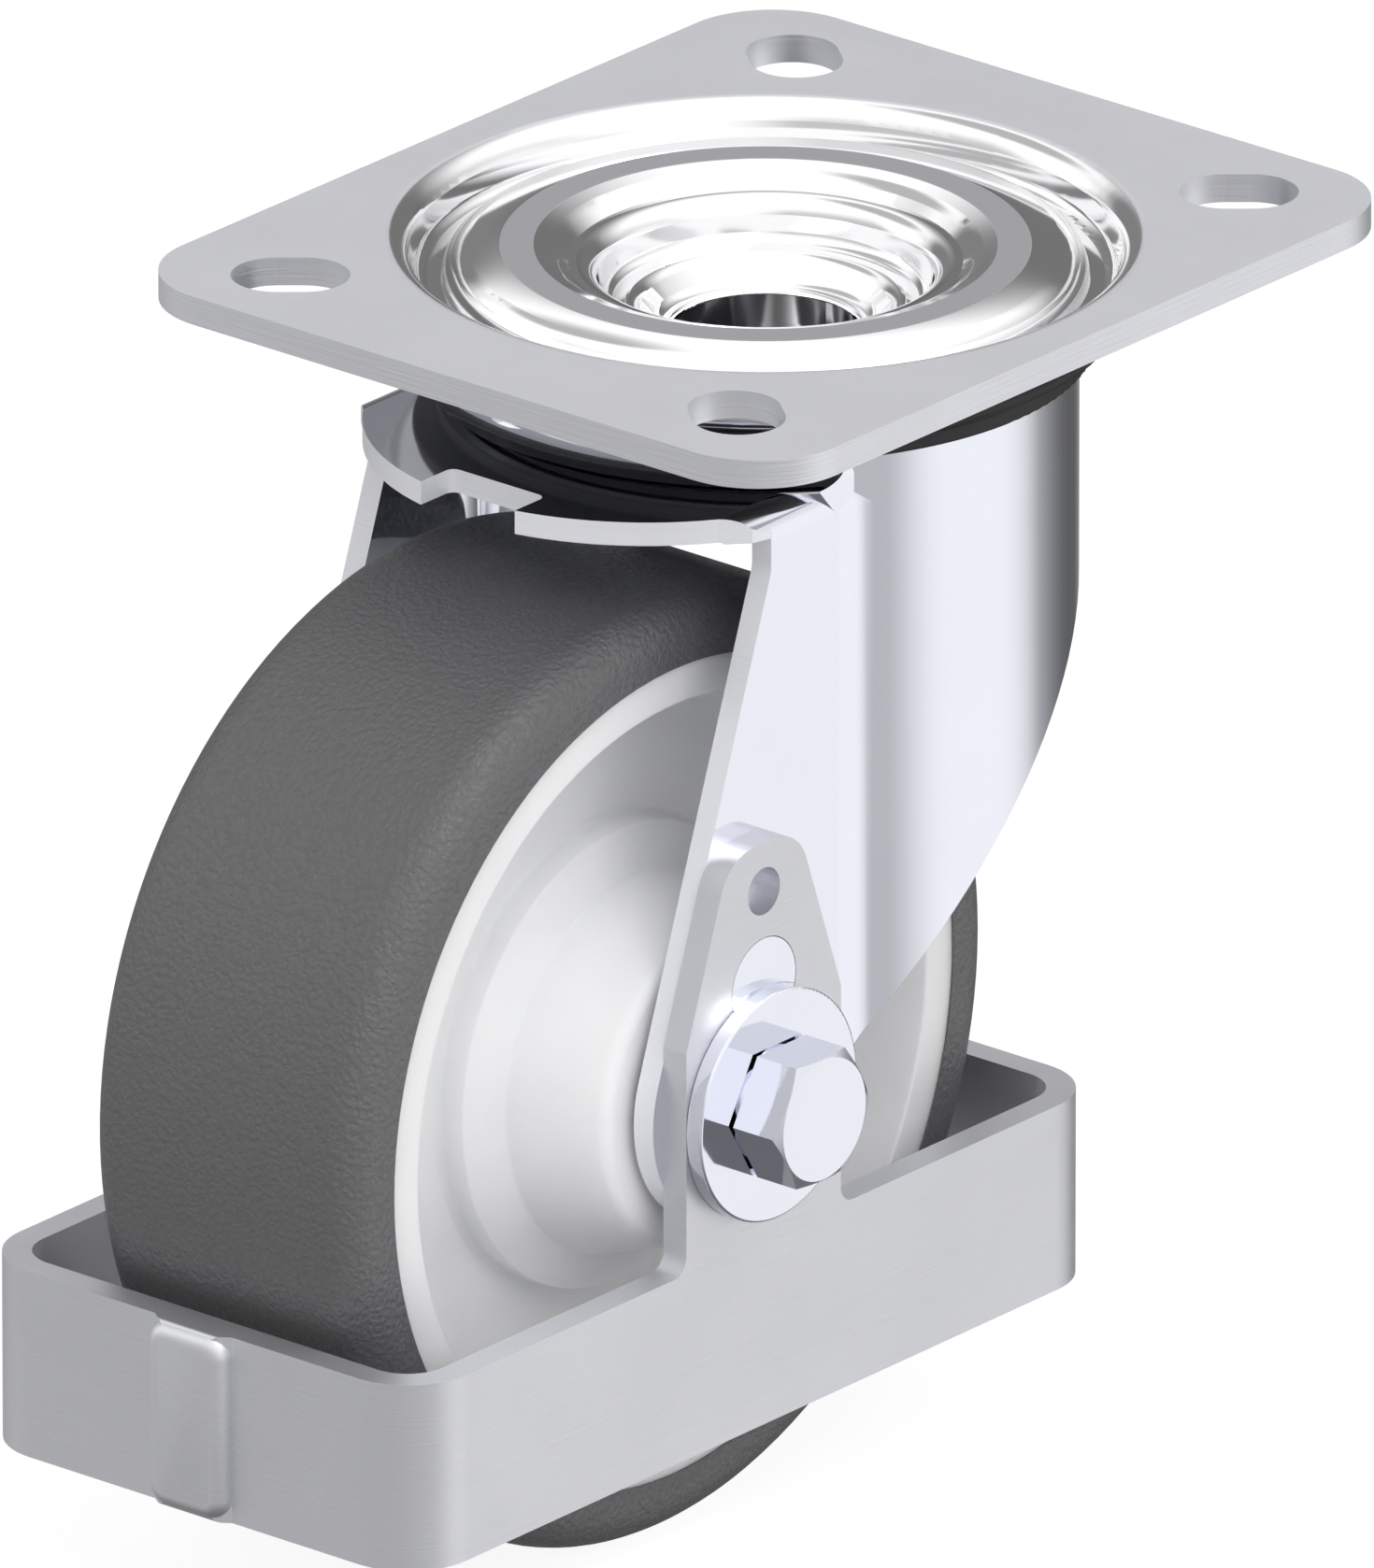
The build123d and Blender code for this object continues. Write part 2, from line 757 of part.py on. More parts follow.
def make_wheel_centre():
    return both_faces(
        [
            (tube_radius + hub_core_gap, bearing_inner_y),
            (bearing_outer_radius, bearing_inner_y),
            (bearing_outer_radius, boss_end_y),
            (boss_end_radius, boss_end_y, press_round),
            (boss_root_radius, boss_root_y, boss_root_round),
            (disc_radius, disc_face_y, broken_edge),
            (disc_radius, web_thickness / 2, disc_foot_round),
            (rim_radius - rim_wall - recess_draft, web_thickness / 2, recess_round),
            (rim_radius - rim_wall, rim_half, broken_edge),
            (rim_radius, rim_half),
            (rim_radius, rim_groove_width / 2 + rim_groove_depth),
            (rim_radius - rim_groove_depth, rim_groove_width / 2),
        ]
    )


def make_tyre():
    return both_faces(
        [
            (rim_radius - rim_groove_depth, rim_groove_width / 2),
            (rim_radius, rim_groove_width / 2 + rim_groove_depth),
            (rim_radius, tyre_half),
            (wheel_radius, tyre_half, tyre_shoulder_radius),
        ]
    )


def bearing_ring(inner, outer):
    """One bearing ring about the axle with its ball groove."""
    body = turned(
        [
            (inner, bearing_inner_y, bearing_edge_round),
            (outer, bearing_inner_y, bearing_edge_round),
            (outer, bearing_outer_y, bearing_edge_round),
            (inner, bearing_outer_y, bearing_edge_round),
        ]
    )
    groove = Pos(bearing_pitch, bearing_middle_y) * Circle(bearing_ball_radius + race_clearance)
    return axle * (body - revolve(Plane.XZ * groove, Axis.Z))


def make_inner_ring():
    return bearing_ring(tube_radius, tube_radius + bearing_ring_wall)


def make_outer_ring():
    return bearing_ring(bearing_outer_radius - bearing_ring_wall, bearing_outer_radius)


def make_bearing_balls():
    return axle * ball_ring(bearing_pitch, bearing_ball_radius, bearing_ball_count, bearing_middle_y)


def make_shield(low):
    return axle * ring(
        tube_radius + bearing_ring_wall + shield_gap,
        bearing_outer_radius - bearing_ring_wall,
        low,
        low + shield_thickness,
    )


inner_ring_left, inner_ring_right = both_sides(make_inner_ring)
outer_ring_left, outer_ring_right = both_sides(make_outer_ring)
balls_left, balls_right = both_sides(make_bearing_balls)
shield_out_left, shield_out_right = both_sides(
    lambda: make_shield(bearing_outer_y - shield_inset - shield_thickness)
)
shield_in_left, shield_in_right = both_sides(lambda: make_shield(bearing_inner_y + shield_inset))
washer_left, washer_right = both_sides(make_washer)
upper_count = balls_that_fit(upper_pitch_radius, upper_ball_radius)
lower_count = balls_that_fit(lower_pitch_radius, lower_ball_radius)

nodes = {
    "top_plate": make_top_plate(),
    "kingpin": make_kingpin(),
    "lower_ball_cup": make_lower_ball_cup(),
    "swivel_seal": make_swivel_seal(),
    "fork": make_fork(),
    "upper_ball_race": ball_ring(upper_pitch_radius, upper_ball_radius, upper_count, upper_ball_z),
    "lower_ball_race": ball_ring(lower_pitch_radius, lower_ball_radius, lower_count, lower_ball_z),
    "foot_guard": make_foot_guard(),
    "axle_bolt": make_axle_bolt(),
    "bolt_washer": washer_right,
    "nut_washer": washer_left,
    "lock_nut": make_lock_nut(),
    "nut_insert": make_nut_insert(),
    "axle_tube": make_axle_tube(),
    "bearing_inner_ring_left": inner_ring_left,
    "bearing_inner_ring_right": inner_ring_right,
    "wheel_centre": make_wheel_centre(),
    "tyre": make_tyre(),
    "bearing_outer_ring_left": outer_ring_left,
    "bearing_outer_ring_right": outer_ring_right,
    "bearing_balls_left": balls_left,
    "bearing_balls_right": balls_right,
    "bearing_shield_outer_left": shield_out_left,
    "bearing_shield_inner_left": shield_in_left,
    "bearing_shield_outer_right": shield_out_right,
    "bearing_shield_inner_right": shield_in_right,
}

for name, shape in nodes.items():
    export_step(shape, f"parts/{name}.step")
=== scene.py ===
from math import cos, radians, sin, tau

import bmesh
import bpy
from bpy.props import FloatProperty, FloatVectorProperty, IntProperty, PointerProperty
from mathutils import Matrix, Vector


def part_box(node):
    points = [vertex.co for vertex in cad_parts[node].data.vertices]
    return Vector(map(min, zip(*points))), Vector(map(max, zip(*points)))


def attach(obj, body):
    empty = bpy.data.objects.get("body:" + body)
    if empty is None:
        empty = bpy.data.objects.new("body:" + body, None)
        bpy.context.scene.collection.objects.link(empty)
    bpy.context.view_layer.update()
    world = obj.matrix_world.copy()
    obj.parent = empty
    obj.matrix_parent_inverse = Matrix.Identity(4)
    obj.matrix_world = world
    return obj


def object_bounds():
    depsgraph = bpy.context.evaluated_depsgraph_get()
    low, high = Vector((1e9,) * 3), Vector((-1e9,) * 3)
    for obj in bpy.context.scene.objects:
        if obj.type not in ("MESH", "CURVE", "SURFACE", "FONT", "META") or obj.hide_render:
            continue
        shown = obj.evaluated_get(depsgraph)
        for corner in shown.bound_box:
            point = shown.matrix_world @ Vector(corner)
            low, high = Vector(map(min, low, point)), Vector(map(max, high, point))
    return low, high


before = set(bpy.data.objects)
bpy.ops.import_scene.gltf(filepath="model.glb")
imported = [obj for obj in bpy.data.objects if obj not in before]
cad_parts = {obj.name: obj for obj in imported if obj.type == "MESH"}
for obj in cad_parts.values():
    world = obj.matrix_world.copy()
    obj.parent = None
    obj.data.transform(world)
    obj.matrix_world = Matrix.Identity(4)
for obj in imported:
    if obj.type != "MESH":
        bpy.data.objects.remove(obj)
packed_box = [list(corner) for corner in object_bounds()]

bl_info = {
    "name": "Swivel Caster Finish",
    "version": (1, 0, 0),
    "blender": (4, 5, 0),
    "location": "3D View > Sidebar > Caster",
    "description": "Finishes a swivel caster with plated steel, a white wheel and a dark tyre",
    "category": "Object",
}

mm = 0.001


# Sizes and colours to change
class SteelFinish(bpy.types.PropertyGroup):
    """Colours and surface of the plated steel."""

    satin_colour: FloatVectorProperty(
        name="Satin steel",
        description="Colour of the zinc-plated flat faces of the plate and the guard",
        subtype="COLOR",
        size=3,
        min=0,
        max=1,
        default=(0.77, 0.775, 0.81),
    )
    satin_roughness: FloatProperty(
        name="Satin roughness",
        description="How blurred reflections are on the satin faces",
        subtype="FACTOR",
        min=0,
        max=1,
        default=0.46,
    )
    bright_colour: FloatVectorProperty(
        name="Bright steel",
        description="Colour of the mirror-bright plating",
        subtype="COLOR",
        size=3,
        min=0,
        max=1,
        default=(0.86, 0.875, 0.95),
    )
    polished_colour: FloatVectorProperty(
        name="Polished dish",
        description="Colour of the polished dish and rivet",
        subtype="COLOR",
        size=3,
        min=0,
        max=1,
        default=(0.94, 0.94, 0.95),
    )
    bright_roughness: FloatProperty(
        name="Bright roughness",
        description="How blurred reflections are on the mirror-bright plating",
        subtype="FACTOR",
        min=0,
        max=1,
        default=0.07,
    )
    satin_metal: FloatProperty(
        name="Satin metal share",
        description="How metallic the matt zinc layer is, from 0 to 1",
        subtype="FACTOR",
        min=0,
        max=1,
        default=0.68,
    )
    brush_spacing: FloatProperty(
        name="Brush line spacing",
        description="Distance between the fine lines on the cut edges of the sheet",
        unit="LENGTH",
        min=0.05 * mm,
        default=0.25 * mm,
    )
    brush_depth: FloatProperty(
        name="Brush line depth",
        description="Depth of the fine lines on the cut edges of the sheet",
        unit="LENGTH",
        min=0,
        default=0.035 * mm,
    )


class WheelFinish(bpy.types.PropertyGroup):
    """Colours and grain of the wheel."""

    centre_colour: FloatVectorProperty(
        name="Wheel centre",
        description="Colour of the white plastic",
        subtype="COLOR",
        size=3,
        min=0,
        max=1,
        default=(0.88, 0.882, 0.89),
    )
    tyre_colour: FloatVectorProperty(
        name="Tyre",
        description="Colour of the tyre",
        subtype="COLOR",
        size=3,
        min=0,
        max=1,
        default=(0.097, 0.098, 0.101),
    )
    grain_size: FloatProperty(
        name="Grain size",
        description="Width of one fold of the tyre's leathery grain",
        unit="LENGTH",
        min=0.2 * mm,
        default=0.62 * mm,
    )
    grain_depth: FloatProperty(
        name="Grain depth",
        description="Height of the tyre's leathery grain",
        unit="LENGTH",
        min=0,
        default=0.15 * mm,
    )


class ThreadSize(bpy.types.PropertyGroup):
    """Thread on the end of the axle bolt."""

    radius: FloatProperty(
        name="Radius",
        description="Outer radius of the thread",
        unit="LENGTH",
        min=1 * mm,
        default=4.0 * mm,
    )
    pitch: FloatProperty(
        name="Pitch",
        description="Rise of the thread in one turn",
        unit="LENGTH",
        min=0.5 * mm,
        default=1.25 * mm,
    )
    depth: FloatProperty(
        name="Depth",
        description="Height of the thread over its root",
        unit="LENGTH",
        min=0.2 * mm,
        default=0.62 * mm,
    )
    steps: IntProperty(
        name="Steps in a turn",
        description="How finely each turn of the thread is divided",
        min=12,
        max=96,
        default=48,
    )


class WeldSize(bpy.types.PropertyGroup):
    """Weld bead that closes the guard's strip."""

    width: FloatProperty(
        name="Width",
        description="Width of the bead",
        unit="LENGTH",
        min=1 * mm,
        default=10.0 * mm,
    )
    height: FloatProperty(
        name="Height",
        description="Height of the bead, from the strip's lower to its upper edge",
        unit="LENGTH",
        min=1 * mm,
        default=19.8 * mm,
    )
    proud: FloatProperty(
        name="Proud",
        description="How far the bead stands out from the strip",
        unit="LENGTH",
        min=0.5 * mm,
        default=1.9 * mm,
    )
    corner: FloatProperty(
        name="Corner radius",
        description="Rounding of the bead's four corners, seen from behind",
        unit="LENGTH",
        min=0.1 * mm,
        default=2.4 * mm,
    )
    rounding: FloatProperty(
        name="Edge radius",
        description="Rounding of the bead's outer edge",
        unit="LENGTH",
        min=0.1 * mm,
        default=1.5 * mm,
    )


class StudioSet(bpy.types.PropertyGroup):
    """Camera, floor and lights."""

    azimuth: FloatProperty(
        name="Camera azimuth",
        description="Direction of the camera round the caster",
        unit="ROTATION",
        default=radians(-50),
    )
    elevation: FloatProperty(
        name="Camera elevation",
        description="Height of the camera over the horizon",
        unit="ROTATION",
        default=radians(22),
    )
    floor_colour: FloatVectorProperty(
        name="Floor",
        description="Colour of the floor",
        subtype="COLOR",
        size=3,
        min=0,
        max=1,
        default=(0.9, 0.9, 0.9),
    )
    key_power: FloatProperty(
        name="Key light",
        description="Power in watts that all lamps are measured by",
        unit="POWER",
        min=0,
        default=0.3,
    )
    fill_strength: FloatProperty(
        name="Fill",
        description="Strength of the light from all round",
        min=0,
        default=0.52,
    )


settings_groups = {
    "caster_steel": SteelFinish,
    "caster_wheel": WheelFinish,
    "caster_thread": ThreadSize,
    "caster_weld": WeldSize,
    "caster_studio": StudioSet,
}

# Dish of the plate: the polished zone and the ground land in it
dish_radius = 37.6 * mm
land_inner_radius = 23.2 * mm
land_outer_radius = 26.6 * mm
land_softness = 0.05 * mm

# Crown shaded on the dish's ridge: its width, its slope at the land and how fast that grows
crown_width = 4.9 * mm
crown_slope = 0.1
crown_growth = 30.0

# Where the fork's punched edges start and where they are full, along X and along Z
leg_edge_behind = (-20.2 * mm, -20.6 * mm)
leg_edge_below = (-16.8 * mm, -17.0 * mm)
flange_edge_behind = (-30.0 * mm, -30.3 * mm)
flange_edge_below = (-14.1 * mm, -14.3 * mm)

# How far a face points along an axis, where its finish starts and where it is full
level_facing = (0.5, 0.85)
off_top_facing = (0.8, 0.5)
tilted_facing = (0.15, 0.3)
off_side_facing = (0.6, 0.4)
off_level_facing = (0.5, 0.3)

# Brightness at either end of each finish, against its own colour
satin_shades = (0.975, 1.025)
# The plate's shades lift the satin colour as painted light for its bright top; their spread between
# the two is random tone
plate_painted_light_shades = (1.06, 1.11)
bright_shades = (0.985, 1.0)
plastic_shades = (0.97, 1.02)
tyre_shades = (1.04, 0.94)
land_shade = 0.68
# The punched edges' shade lifts the satin colour by a fifth as painted light
punched_painted_light = 1.2

# Roughness at either end of each finish, the bright steel's against its own
bright_roughness_shares = (0.8, 1.3)
bearing_roughness = (0.14, 0.28)
rubber_roughness = (0.5, 0.62)
plastic_roughness = (0.3, 0.42)
tyre_roughness = (0.40, 0.52)
satin_roughness_drift = 0.06

# The strip's and the punched edges' shares of the satin steel's brushing and metal
strip_brush_share = 0.45
punched_metal_share = 0.6

# Sizes of soft patches and brush lines
satin_patch_size = 18 * mm
bright_patch_size = 12 * mm
brush_length = 12 * mm


# Material nodes
def put(tree, kind, options=None, inputs=None):
    """Adds a node. Options set its own fields, and each input takes a value or a socket to link."""
    made = tree.nodes.new(kind)
    for name, value in (options or {}).items():
        setattr(made, name, value)
    for name, value in (inputs or {}).items():
        if isinstance(value, bpy.types.NodeSocket):
            tree.links.new(value, made.inputs[name])
        else:
            made.inputs[name].default_value = value
    return made


def calculate(tree, operation, first, second=0.0, limited=False):
    """Result of one Math node."""
    options = {"operation": operation, "use_clamp": limited}
    return put(tree, "ShaderNodeMath", options, {0: first, 1: second}).outputs[0]


def product(tree, *factors):
    """Product of two or more numbers."""
    result = factors[0]
    for factor in factors[1:]:
        result = calculate(tree, "MULTIPLY", result, factor)
    return result


def rest_of(tree, share):
    """1 less a share."""
    return calculate(tree, "SUBTRACT", 1.0, share)


def vector_step(tree, operation, inputs, output="Vector"):
    """Result of one Vector Math node."""
    return put(tree, "ShaderNodeVectorMath", {"operation": operation}, inputs).outputs[output]


def axes(tree, vector):
    """X, Y and Z of a vector."""
    return put(tree, "ShaderNodeSeparateXYZ", None, {0: vector}).outputs


def radius_of(tree, vector):
    """Distance of a point from the upright axis."""
    flat = vector_step(tree, "MULTIPLY", {0: vector, 1: (1, 1, 0)})
    return vector_step(tree, "LENGTH", {0: flat}, "Value")


def in_units_of(tree, vector, size):
    """Point measured in units of a size."""
    return vector_step(tree, "SCALE", {0: vector, "Scale": calculate(tree, "DIVIDE", 1.0, size)})


def step_up(tree, value, low, high):
    """Smooth ramp from 0 at low to 1 at high."""
    inputs = {"Value": value, "From Min": low, "From Max": high}
    return put(tree, "ShaderNodeMapRange", {"interpolation_type": "SMOOTHSTEP"}, inputs).outputs[0]


def between(tree, share, first, second):
    """Number between two numbers."""
    inputs = {0: share, 2: first, 3: second}
    return put(tree, "ShaderNodeMix", {"data_type": "FLOAT"}, inputs).outputs[0]


def blend_colour(tree, share, first, second):
    """Colour between two colours."""
    inputs = {0: share, 6: first, 7: second}
    return put(tree, "ShaderNodeMix", {"data_type": "RGBA"}, inputs).outputs[2]


def noise(tree, vector, scale, detail, output=0, **inputs):
    """Result of one Noise Texture node: 0 for its number, 1 for its colour."""
    inputs = {"Vector": vector, "Scale": scale, "Detail": detail, **inputs}
    return put(tree, "ShaderNodeTexNoise", None, inputs).outputs[output]


def bump(tree, height, depth, before=None):
    """Normal from a height and the real depth of 1 unit of it, on top of another normal."""
    inputs = {"Height": height, "Distance": depth}
    if before:
        inputs["Normal"] = before
    return put(tree, "ShaderNodeBump", None, inputs).outputs[0]


# Shared effects
def start_group(name, inputs, output):
    """New shader group with named sockets. Returns its tree, its inputs and its output."""
    tree = bpy.data.node_groups.new(name, "ShaderNodeTree")
    for socket, kind, value in inputs:
        made = tree.interface.new_socket(socket, in_out="INPUT", socket_type=kind)
        if value is not None:
            made.default_value = value
    tree.interface.new_socket(output, in_out="OUTPUT", socket_type="NodeSocketFloat")
    given = tree.nodes.new("NodeGroupInput").outputs
    return tree, given, tree.nodes.new("NodeGroupOutput").inputs[output]


def ring_zone_group():
    """Mask of a ring about the piece's upright axis."""
    tree, given, out = start_group(
        "Ring zone",
        (
            ("Vector", "NodeSocketVector", None),
            ("Inner radius", "NodeSocketFloat", 0.0),
            ("Outer radius", "NodeSocketFloat", 10 * mm),
            ("Softness", "NodeSocketFloat", 0.2 * mm),
        ),
        "Mask",
    )
    radius = radius_of(tree, given["Vector"])
    past_inner, past_outer = (
        step_up(
            tree,
            radius,
            calculate(tree, "SUBTRACT", given[edge], given["Softness"]),
            calculate(tree, "ADD", given[edge], given["Softness"]),
        )
        for edge in ("Inner radius", "Outer radius")
    )
    tree.links.new(calculate(tree, "SUBTRACT", past_inner, past_outer, True), out)
    return tree


def brushing_group():
    """Fine level lines, long along X and Y and close together along Z."""
    tree, given, out = start_group(
        "Fine brushing",
        (
            ("Vector", "NodeSocketVector", None),
            ("Spacing", "NodeSocketFloat", 0.25 * mm),
            ("Length", "NodeSocketFloat", brush_length),
        ),
        "Lines",
    )
    x, y, z = axes(tree, given["Vector"])
    inputs = {
        0: calculate(tree, "DIVIDE", x, given["Length"]),
        1: calculate(tree, "DIVIDE", y, given["Length"]),
        2: calculate(tree, "DIVIDE", z, given["Spacing"]),
    }
    stretched = put(tree, "ShaderNodeCombineXYZ", None, inputs).outputs[0]
    tree.links.new(noise(tree, stretched, 1.0, 2.0, Roughness=0.6), out)
    return tree


def patches_group():
    """Large soft patches with finer ones in them, as handling and plating leave."""
    tree, given, out = start_group(
        "Soft patches",
        (("Vector", "NodeSocketVector", None), ("Size", "NodeSocketFloat", 20 * mm)),
        "Value",
    )
    scaled = in_units_of(tree, given["Vector"], given["Size"])
    clouds = noise(tree, scaled, 1.0, 4.0, Roughness=0.55)
    inputs = {"Value": clouds, "From Min": 0.3, "From Max": 0.7}
    tree.links.new(put(tree, "ShaderNodeMapRange", None, inputs).outputs[0], out)
    return tree


def grain_group():
    """Leathery moulded grain: rounded folds that run into each other."""
    tree, given, out = start_group(
        "Leathery grain",
        (("Vector", "NodeSocketVector", None), ("Size", "NodeSocketFloat", 1 * mm)),
        "Height",
    )
    warp_reach = (0.8, 0.8, 0.8)
    fine_share = 0.6

    scaled = in_units_of(tree, given["Vector"], given["Size"])
    warp = noise(tree, scaled, 0.7, 2.0, output=1, Distortion=0.6)
    warped = vector_step(tree, "MULTIPLY_ADD", {0: warp, 1: warp_reach, 2: scaled})
    inputs = {"Vector": warped, "Scale": 1.0, "Smoothness": 0.6}
    cells = put(tree, "ShaderNodeTexVoronoi", {"feature": "SMOOTH_F1"}, inputs).outputs[0]
    fine = product(tree, noise(tree, warped, 2.2, 2.0), fine_share)
    tree.links.new(calculate(tree, "ADD", cells, fine), out)
    return tree


def soft_light_group():
    """Mask of a round soft light in the sky, from its centre and its two edges as cosines."""
    tree, given, out = start_group(
        "Soft light",
        (
            ("Direction", "NodeSocketVector", None),
            ("Centre", "NodeSocketVector", None),
            ("Outer edge", "NodeSocketFloat", 0.5),
            ("Inner edge", "NodeSocketFloat", 0.9),
        ),
        "Mask",
    )
    inputs = {0: given["Direction"], 1: given["Centre"]}
    facing = vector_step(tree, "DOT_PRODUCT", inputs, "Value")
    tree.links.new(step_up(tree, facing, given["Outer edge"], given["Inner edge"]), out)
    return tree


group_makers = {
    "Soft light": soft_light_group,
    "Ring zone": ring_zone_group,
    "Fine brushing": brushing_group,
    "Soft patches": patches_group,
    "Leathery grain": grain_group,
}


def use_group(tree, name, inputs):
    """Places a shared group, which is built the first time, and returns its output."""
    group = bpy.data.node_groups.get(name) or group_makers[name]()
    return put(tree, "ShaderNodeGroup", {"node_tree": group}, inputs).outputs[0]


def soft_patches(tree, place, size):
    """Soft patches from 0 to 1."""
    return use_group(tree, "Soft patches", {"Vector": place["Object"], "Size": size})


def brush_lines(tree, place, spacing, length=brush_length):
    """Fine lines from 0 to 1."""
    inputs = {"Vector": place["Object"], "Spacing": spacing, "Length": length}
    return use_group(tree, "Fine brushing", inputs)


# Materials
def start_material(name, colour, metallic, roughness):
    """New material. Returns it with its tree, its shader's inputs and the coordinates."""
    material = bpy.data.materials.new(name)
    material.use_nodes = True
    tree = material.node_tree
    tree.nodes.clear()
    shader = put(tree, "ShaderNodeBsdfPrincipled")
    shader.inputs["Base Color"].default_value = (*colour, 1)
    shader.inputs["Metallic"].default_value = metallic
    shader.inputs["Roughness"].default_value = roughness
    put(tree, "ShaderNodeOutputMaterial", None, {"Surface": shader.outputs[0]})
    material.diffuse_color = (*colour, 1)
    place = put(tree, "ShaderNodeTexCoord").outputs
    return material, tree, shader.inputs, place


def feed(tree, shader, sockets):
    """Links sockets to the shader's inputs."""
    for name, socket in sockets.items():
        tree.links.new(socket, shader[name])


def rgba(colour, factor=1.0):
    """Colour with alpha, lightened or darkened."""
    return (*[min(1.0, channel * factor) for channel in colour], 1)


def shades(colour, factors):
    """Two shades of a colour."""
    return [rgba(colour, factor) for factor in factors]


def mottle(tree, shader, place, patch_size, colours, roughness=None):
    """Lets the colour, and the roughness if given, drift softly. Returns the patches."""
    patches = soft_patches(tree, place, patch_size)
    feed(tree, shader, {"Base Color": blend_colour(tree, patches, *colours)})
    if roughness:
        feed(tree, shader, {"Roughness": between(tree, patches, *roughness)})
    return patches


def upright_share(tree, place):
    """0 on faces that point up or down, 1 on upright faces."""
    upward = calculate(tree, "ABSOLUTE", axes(tree, place["Normal"])[2])
    return rest_of(tree, step_up(tree, upward, *level_facing))


def satin_steel(steel):
    """Zinc-plated strip with satin faces."""
    material, tree, shader, place = start_material(
        "Satin plated steel", steel.satin_colour, 1, steel.satin_roughness
    )
    colours = shades(steel.satin_colour, satin_shades)
    mottle(tree, shader, place, satin_patch_size, colours)
    lines = brush_lines(tree, place, steel.brush_spacing)
    smooth = steel.satin_roughness - satin_roughness_drift
    rough = steel.satin_roughness + satin_roughness_drift
    height = product(tree, lines, upright_share(tree, place))
    sockets = {
        "Roughness": between(tree, lines, smooth, rough),
        "Normal": bump(tree, height, steel.brush_depth * strip_brush_share),
    }
    feed(tree, shader, sockets)
    return material


def crown_normal(tree, place):
    """Normal of a crown on the dish's ridge, which falls ever faster away from the land."""
    past = calculate(tree, "SUBTRACT", radius_of(tree, place["Object"]), land_outer_radius)
    past = calculate(tree, "MINIMUM", calculate(tree, "MAXIMUM", past), crown_width)
    slope = calculate(tree, "ADD", product(tree, past, crown_growth), crown_slope)
    return bump(tree, product(tree, past, slope, -1.0), 1.0)


def plate_steel(steel):
    """Satin plate whose drawn dish is polished, apart from its ground land; its satin colour is
    lifted over the guard's as painted light.
    """
    material, tree, shader, place = start_material(
        "Plate steel", steel.satin_colour, 1, steel.satin_roughness
    )
    inputs = {"Vector": place["Object"], "Inner radius": 0.0, "Outer radius": dish_radius}
    dish = use_group(tree, "Ring zone", inputs)
    inputs = {
        "Vector": place["Object"],
        "Inner radius": land_inner_radius,
        "Outer radius": land_outer_radius,
        "Softness": land_softness,
    }
    land = use_group(tree, "Ring zone", inputs)
    polished = calculate(tree, "SUBTRACT", dish, land, True)
    patches = soft_patches(tree, place, satin_patch_size)
    # Satin colour of the plate, lifted over the guard's as painted light
    satin = blend_colour(tree, patches, *shades(steel.satin_colour, plate_painted_light_shades))
    ground = blend_colour(tree, land, satin, rgba(steel.satin_colour, land_shade))
    not_top = step_up(tree, axes(tree, place["Normal"])[2], *off_top_facing)
    bare = calculate(tree, "MAXIMUM", polished, not_top)
    lines = brush_lines(tree, place, steel.brush_spacing)
    brushed = product(tree, lines, upright_share(tree, place), rest_of(tree, dish))
    sockets = {
        "Base Color": blend_colour(tree, polished, ground, rgba(steel.polished_colour)),
        "Roughness": between(tree, polished, steel.satin_roughness, steel.bright_roughness),
        "Metallic": between(tree, bare, steel.satin_metal, 1.0),
        "Normal": bump(tree, brushed, steel.brush_depth, crown_normal(tree, place)),
    }
    feed(tree, shader, sockets)
    return material


def bright_steel(name, tint, steel):
    """Mirror-bright plating."""
    material, tree, shader, place = start_material(name, tint, 1, steel.bright_roughness)
    roughness = [steel.bright_roughness * share for share in bright_roughness_shares]
    mottle(tree, shader, place, bright_patch_size, shades(tint, bright_shades), roughness)
    return material


def punched_share(tree, place):
    """1 on the fork's punched edges: down the back of its legs and round its flange."""
    x, _, z = axes(tree, place["Object"])
    _, sideways, upward = (
        calculate(tree, "ABSOLUTE", part) for part in axes(tree, place["Normal"])
    )
    tilted = step_up(tree, upward, *tilted_facing)
    behind = step_up(tree, x, *leg_edge_behind)
    below = step_up(tree, z, *leg_edge_below)
    back = calculate(tree, "MAXIMUM", tilted, behind)
    leg_edge = product(tree, step_up(tree, sideways, *off_side_facing), below, back)
    in_flange = product(tree, step_up(tree, z, *flange_edge_below), rest_of(tree, below))
    far_behind = step_up(tree, x, *flange_edge_behind)
    upright = step_up(tree, upward, *off_level_facing)
    flange_edge = product(tree, upright, far_behind, in_flange)
    return calculate(tree, "MAXIMUM", leg_edge, flange_edge)


def fork_steel(steel):
    """Mirror-bright sheet whose punched edges are left satin with fine lines, their colour lifted
    as painted light.
    """
    material, tree, shader, place = start_material(
        "Fork steel", steel.bright_colour, 1, steel.bright_roughness
    )
    punched = punched_share(tree, place)
    patches = soft_patches(tree, place, bright_patch_size)
    bright = blend_colour(tree, patches, *shades(steel.bright_colour, bright_shades))
    # Punched edges are a real satin finish; their colour is the satin lifted as painted light
    satin = rgba(steel.satin_colour, punched_painted_light)
    lines = brush_lines(tree, place, steel.brush_spacing)
    sockets = {
        "Base Color": blend_colour(tree, punched, bright, satin),
        "Roughness": between(tree, punched, steel.bright_roughness, steel.satin_roughness),
        "Metallic": between(tree, punched, 1.0, steel.satin_metal * punched_metal_share),
        "Normal": bump(tree, product(tree, lines, punched), steel.brush_depth),
    }
    feed(tree, shader, sockets)
    return material


